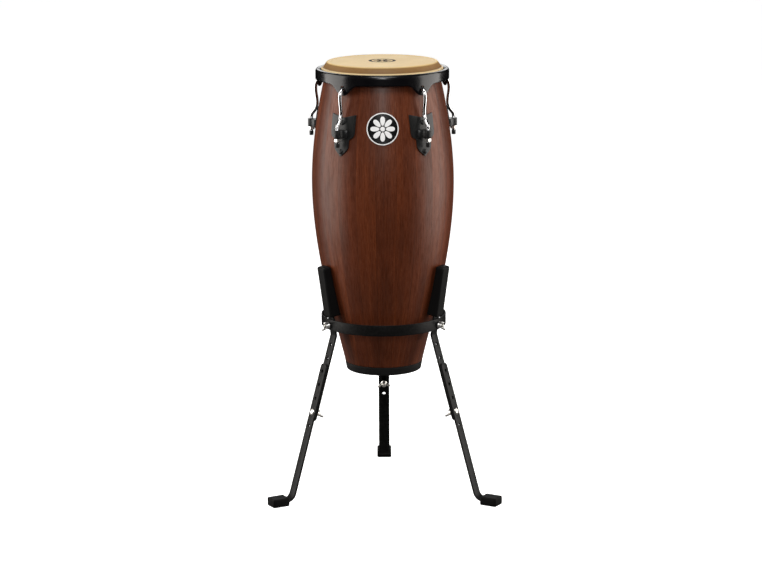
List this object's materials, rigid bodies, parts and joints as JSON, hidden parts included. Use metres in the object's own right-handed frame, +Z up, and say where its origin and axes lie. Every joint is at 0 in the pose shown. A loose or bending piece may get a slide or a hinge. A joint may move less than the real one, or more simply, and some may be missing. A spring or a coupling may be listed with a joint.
{
  "type": "conga drum",
  "caption": "Tall barrel-shaped wooden hand drum with a skin head, hook-tensioned rim and a height-adjustable three-legged basket stand.",
  "frame": {"origin": "on the floor under the middle of the object's box; the drum's own axis is vertical at Y = -0.06955 m", "axes": "+Z up along the drum; -Y is the front, the side with the badge; one leg of the stand points to +Y and the other two to the front left and front right"},
  "size_m": [0.5356, 0.4646, 1.001],
  "materials": {
    "wood_stave": "satin red-brown lacquer over vertical staves",
    "black_powder_coat": "satin black powder coat on steel",
    "black_rim_coat": "semi-gloss black coat on steel",
    "chrome_rod": "polished chrome plate",
    "chrome_nut": "chrome plate",
    "natural_skin": "matt rawhide drum skin",
    "plain_steel": "zinc-plated steel",
    "black_rubber": "matt moulded rubber",
    "badge_metal": "plated disc with a dark field"
  },
  "bodies": {
    "basket": {"basket_ring": "black_powder_coat", "ring_bolt_1": "plain_steel", "ring_bolt_2": "plain_steel", "ring_bolt_3": "plain_steel"},
    "drum": {"shell": "wood_stave", "bottom_rim_rubber": "black_rubber", "head_skin": "natural_skin", "badge": "badge_metal", "side_plate_1": "black_powder_coat", "side_plate_2": "black_powder_coat", "side_plate_3": "black_powder_coat", "side_plate_4": "black_powder_coat", "side_plate_5": "black_powder_coat", "lug_receiver_1": "black_powder_coat", "lug_receiver_2": "black_powder_coat", "lug_receiver_3": "black_powder_coat", "lug_receiver_4": "black_powder_coat", "lug_receiver_5": "black_powder_coat", "backing_plate_1": "plain_steel", "backing_plate_2": "plain_steel", "backing_plate_3": "plain_steel", "backing_plate_4": "plain_steel", "backing_plate_5": "plain_steel"},
    "rim": {"tension_ring": "black_rim_coat", "flesh_hoop": "plain_steel", "tuning_hook_1": "chrome_rod", "tuning_hook_2": "chrome_rod", "tuning_hook_3": "chrome_rod", "tuning_hook_4": "chrome_rod", "tuning_hook_5": "chrome_rod"},
    "tuning_nut_1": {"tuning_nut_1": "chrome_nut"},
    "tuning_nut_2": {"tuning_nut_2": "chrome_nut"},
    "tuning_nut_3": {"tuning_nut_3": "chrome_nut"},
    "tuning_nut_4": {"tuning_nut_4": "chrome_nut"},
    "tuning_nut_5": {"tuning_nut_5": "chrome_nut"},
    "leg_1": {"upper_leg_1": "black_powder_coat", "arm_pad_1": "black_rubber"},
    "shin_1": {"lower_leg_1": "black_powder_coat", "foot_1": "black_rubber", "leg_bolt_1": "chrome_nut"},
    "ring_wing_nut_1": {"ring_wing_nut_1": "chrome_nut"},
    "leg_wing_nut_1": {"leg_wing_nut_1": "chrome_nut"},
    "leg_2": {"upper_leg_2": "black_powder_coat", "arm_pad_2": "black_rubber"},
    "shin_2": {"lower_leg_2": "black_powder_coat", "foot_2": "black_rubber", "leg_bolt_2": "chrome_nut"},
    "ring_wing_nut_2": {"ring_wing_nut_2": "chrome_nut"},
    "leg_wing_nut_2": {"leg_wing_nut_2": "chrome_nut"},
    "leg_3": {"upper_leg_3": "black_powder_coat", "arm_pad_3": "black_rubber"},
    "shin_3": {"lower_leg_3": "black_powder_coat", "foot_3": "black_rubber", "leg_bolt_3": "chrome_nut"},
    "ring_wing_nut_3": {"ring_wing_nut_3": "chrome_nut"},
    "leg_wing_nut_3": {"leg_wing_nut_3": "chrome_nut"}
  },
  "joints": [
    {"name": "drum_lift", "type": "slide", "parent": "basket", "child": "drum", "axis": [0, 0, 1], "range_m": [0, 0.3]},
    {"name": "rim_tune", "type": "slide", "parent": "drum", "child": "rim", "axis": [0, 0, 1], "range_m": [-0.006, 0.0025]},
    {"name": "tuning_nut_1_turn", "type": "hinge", "parent": "drum", "child": "tuning_nut_1", "pos_m": [-0.10051, -0.20789, 0.838], "axis": [0, 0, 1], "range_deg": [-730, 1740]},
    {"name": "tuning_nut_2_turn", "type": "hinge", "parent": "drum", "child": "tuning_nut_2", "pos_m": [0.10051, -0.20789, 0.838], "axis": [0, 0, 1], "range_deg": [-730, 1740]},
    {"name": "tuning_nut_3_turn", "type": "hinge", "parent": "drum", "child": "tuning_nut_3", "pos_m": [0.16263, -0.01671, 0.838], "axis": [0, 0, 1], "range_deg": [-730, 1740]},
    {"name": "tuning_nut_4_turn", "type": "hinge", "parent": "drum", "child": "tuning_nut_4", "pos_m": [0, 0.10145, 0.838], "axis": [0, 0, 1], "range_deg": [-730, 1740]},
    {"name": "tuning_nut_5_turn", "type": "hinge", "parent": "drum", "child": "tuning_nut_5", "pos_m": [-0.16263, -0.01671, 0.838], "axis": [0, 0, 1], "range_deg": [-730, 1740]},
    {"name": "leg_swing_1", "type": "hinge", "parent": "basket", "child": "leg_1", "pos_m": [-0.11691, -0.13705, 0.4075], "axis": [-0.8565, -0.4945, -0.1478], "range_deg": [-15, 15]},
    {"name": "leg_height_1", "type": "slide", "parent": "leg_1", "child": "shin_1", "axis": [-0.246, -0.142, -0.9588], "range_m": [-0.045, 0]},
    {"name": "ring_wing_nut_1_turn", "type": "hinge", "parent": "basket", "child": "ring_wing_nut_1", "pos_m": [-0.11691, -0.13705, 0.4075], "axis": [-0.8565, -0.4945, -0.1478], "continuous": true},
    {"name": "leg_wing_nut_1_turn", "type": "hinge", "parent": "shin_1", "child": "leg_wing_nut_1", "pos_m": [-0.16264, -0.16345, 0.208], "axis": [-0.8304, -0.4794, 0.284], "continuous": true},
    {"name": "leg_swing_2", "type": "hinge", "parent": "basket", "child": "leg_2", "pos_m": [0.11691, -0.13705, 0.4075], "axis": [0.8565, -0.4945, -0.1478], "range_deg": [-15, 15]},
    {"name": "leg_height_2", "type": "slide", "parent": "leg_2", "child": "shin_2", "axis": [0.246, -0.142, -0.9588], "range_m": [-0.045, 0]},
    {"name": "ring_wing_nut_2_turn", "type": "hinge", "parent": "basket", "child": "ring_wing_nut_2", "pos_m": [0.11691, -0.13705, 0.4075], "axis": [0.8565, -0.4945, -0.1478], "continuous": true},
    {"name": "leg_wing_nut_2_turn", "type": "hinge", "parent": "shin_2", "child": "leg_wing_nut_2", "pos_m": [0.16264, -0.16345, 0.208], "axis": [0.8304, -0.4794, 0.284], "continuous": true},
    {"name": "leg_swing_3", "type": "hinge", "parent": "basket", "child": "leg_3", "pos_m": [0, 0.06545, 0.4075], "axis": [0, 0.989, -0.1478], "range_deg": [-15, 15]},
    {"name": "leg_height_3", "type": "slide", "parent": "leg_3", "child": "shin_3", "axis": [0, 0.284, -0.9588], "range_m": [-0.045, 0]},
    {"name": "ring_wing_nut_3_turn", "type": "hinge", "parent": "basket", "child": "ring_wing_nut_3", "pos_m": [0, 0.06545, 0.4075], "axis": [0, 0.989, -0.1478], "continuous": true},
    {"name": "leg_wing_nut_3_turn", "type": "hinge", "parent": "shin_3", "child": "leg_wing_nut_3", "pos_m": [0, 0.11825, 0.208], "axis": [0, 0.9588, 0.284], "continuous": true}
  ],
  "couplings": [
    {"joint": "tuning_nut_1_turn", "follows": "rim_tune", "rad_per_m": -5026.5},
    {"joint": "tuning_nut_2_turn", "follows": "rim_tune", "rad_per_m": -5026.5},
    {"joint": "tuning_nut_3_turn", "follows": "rim_tune", "rad_per_m": -5026.5},
    {"joint": "tuning_nut_4_turn", "follows": "rim_tune", "rad_per_m": -5026.5},
    {"joint": "tuning_nut_5_turn", "follows": "rim_tune", "rad_per_m": -5026.5}
  ]
}
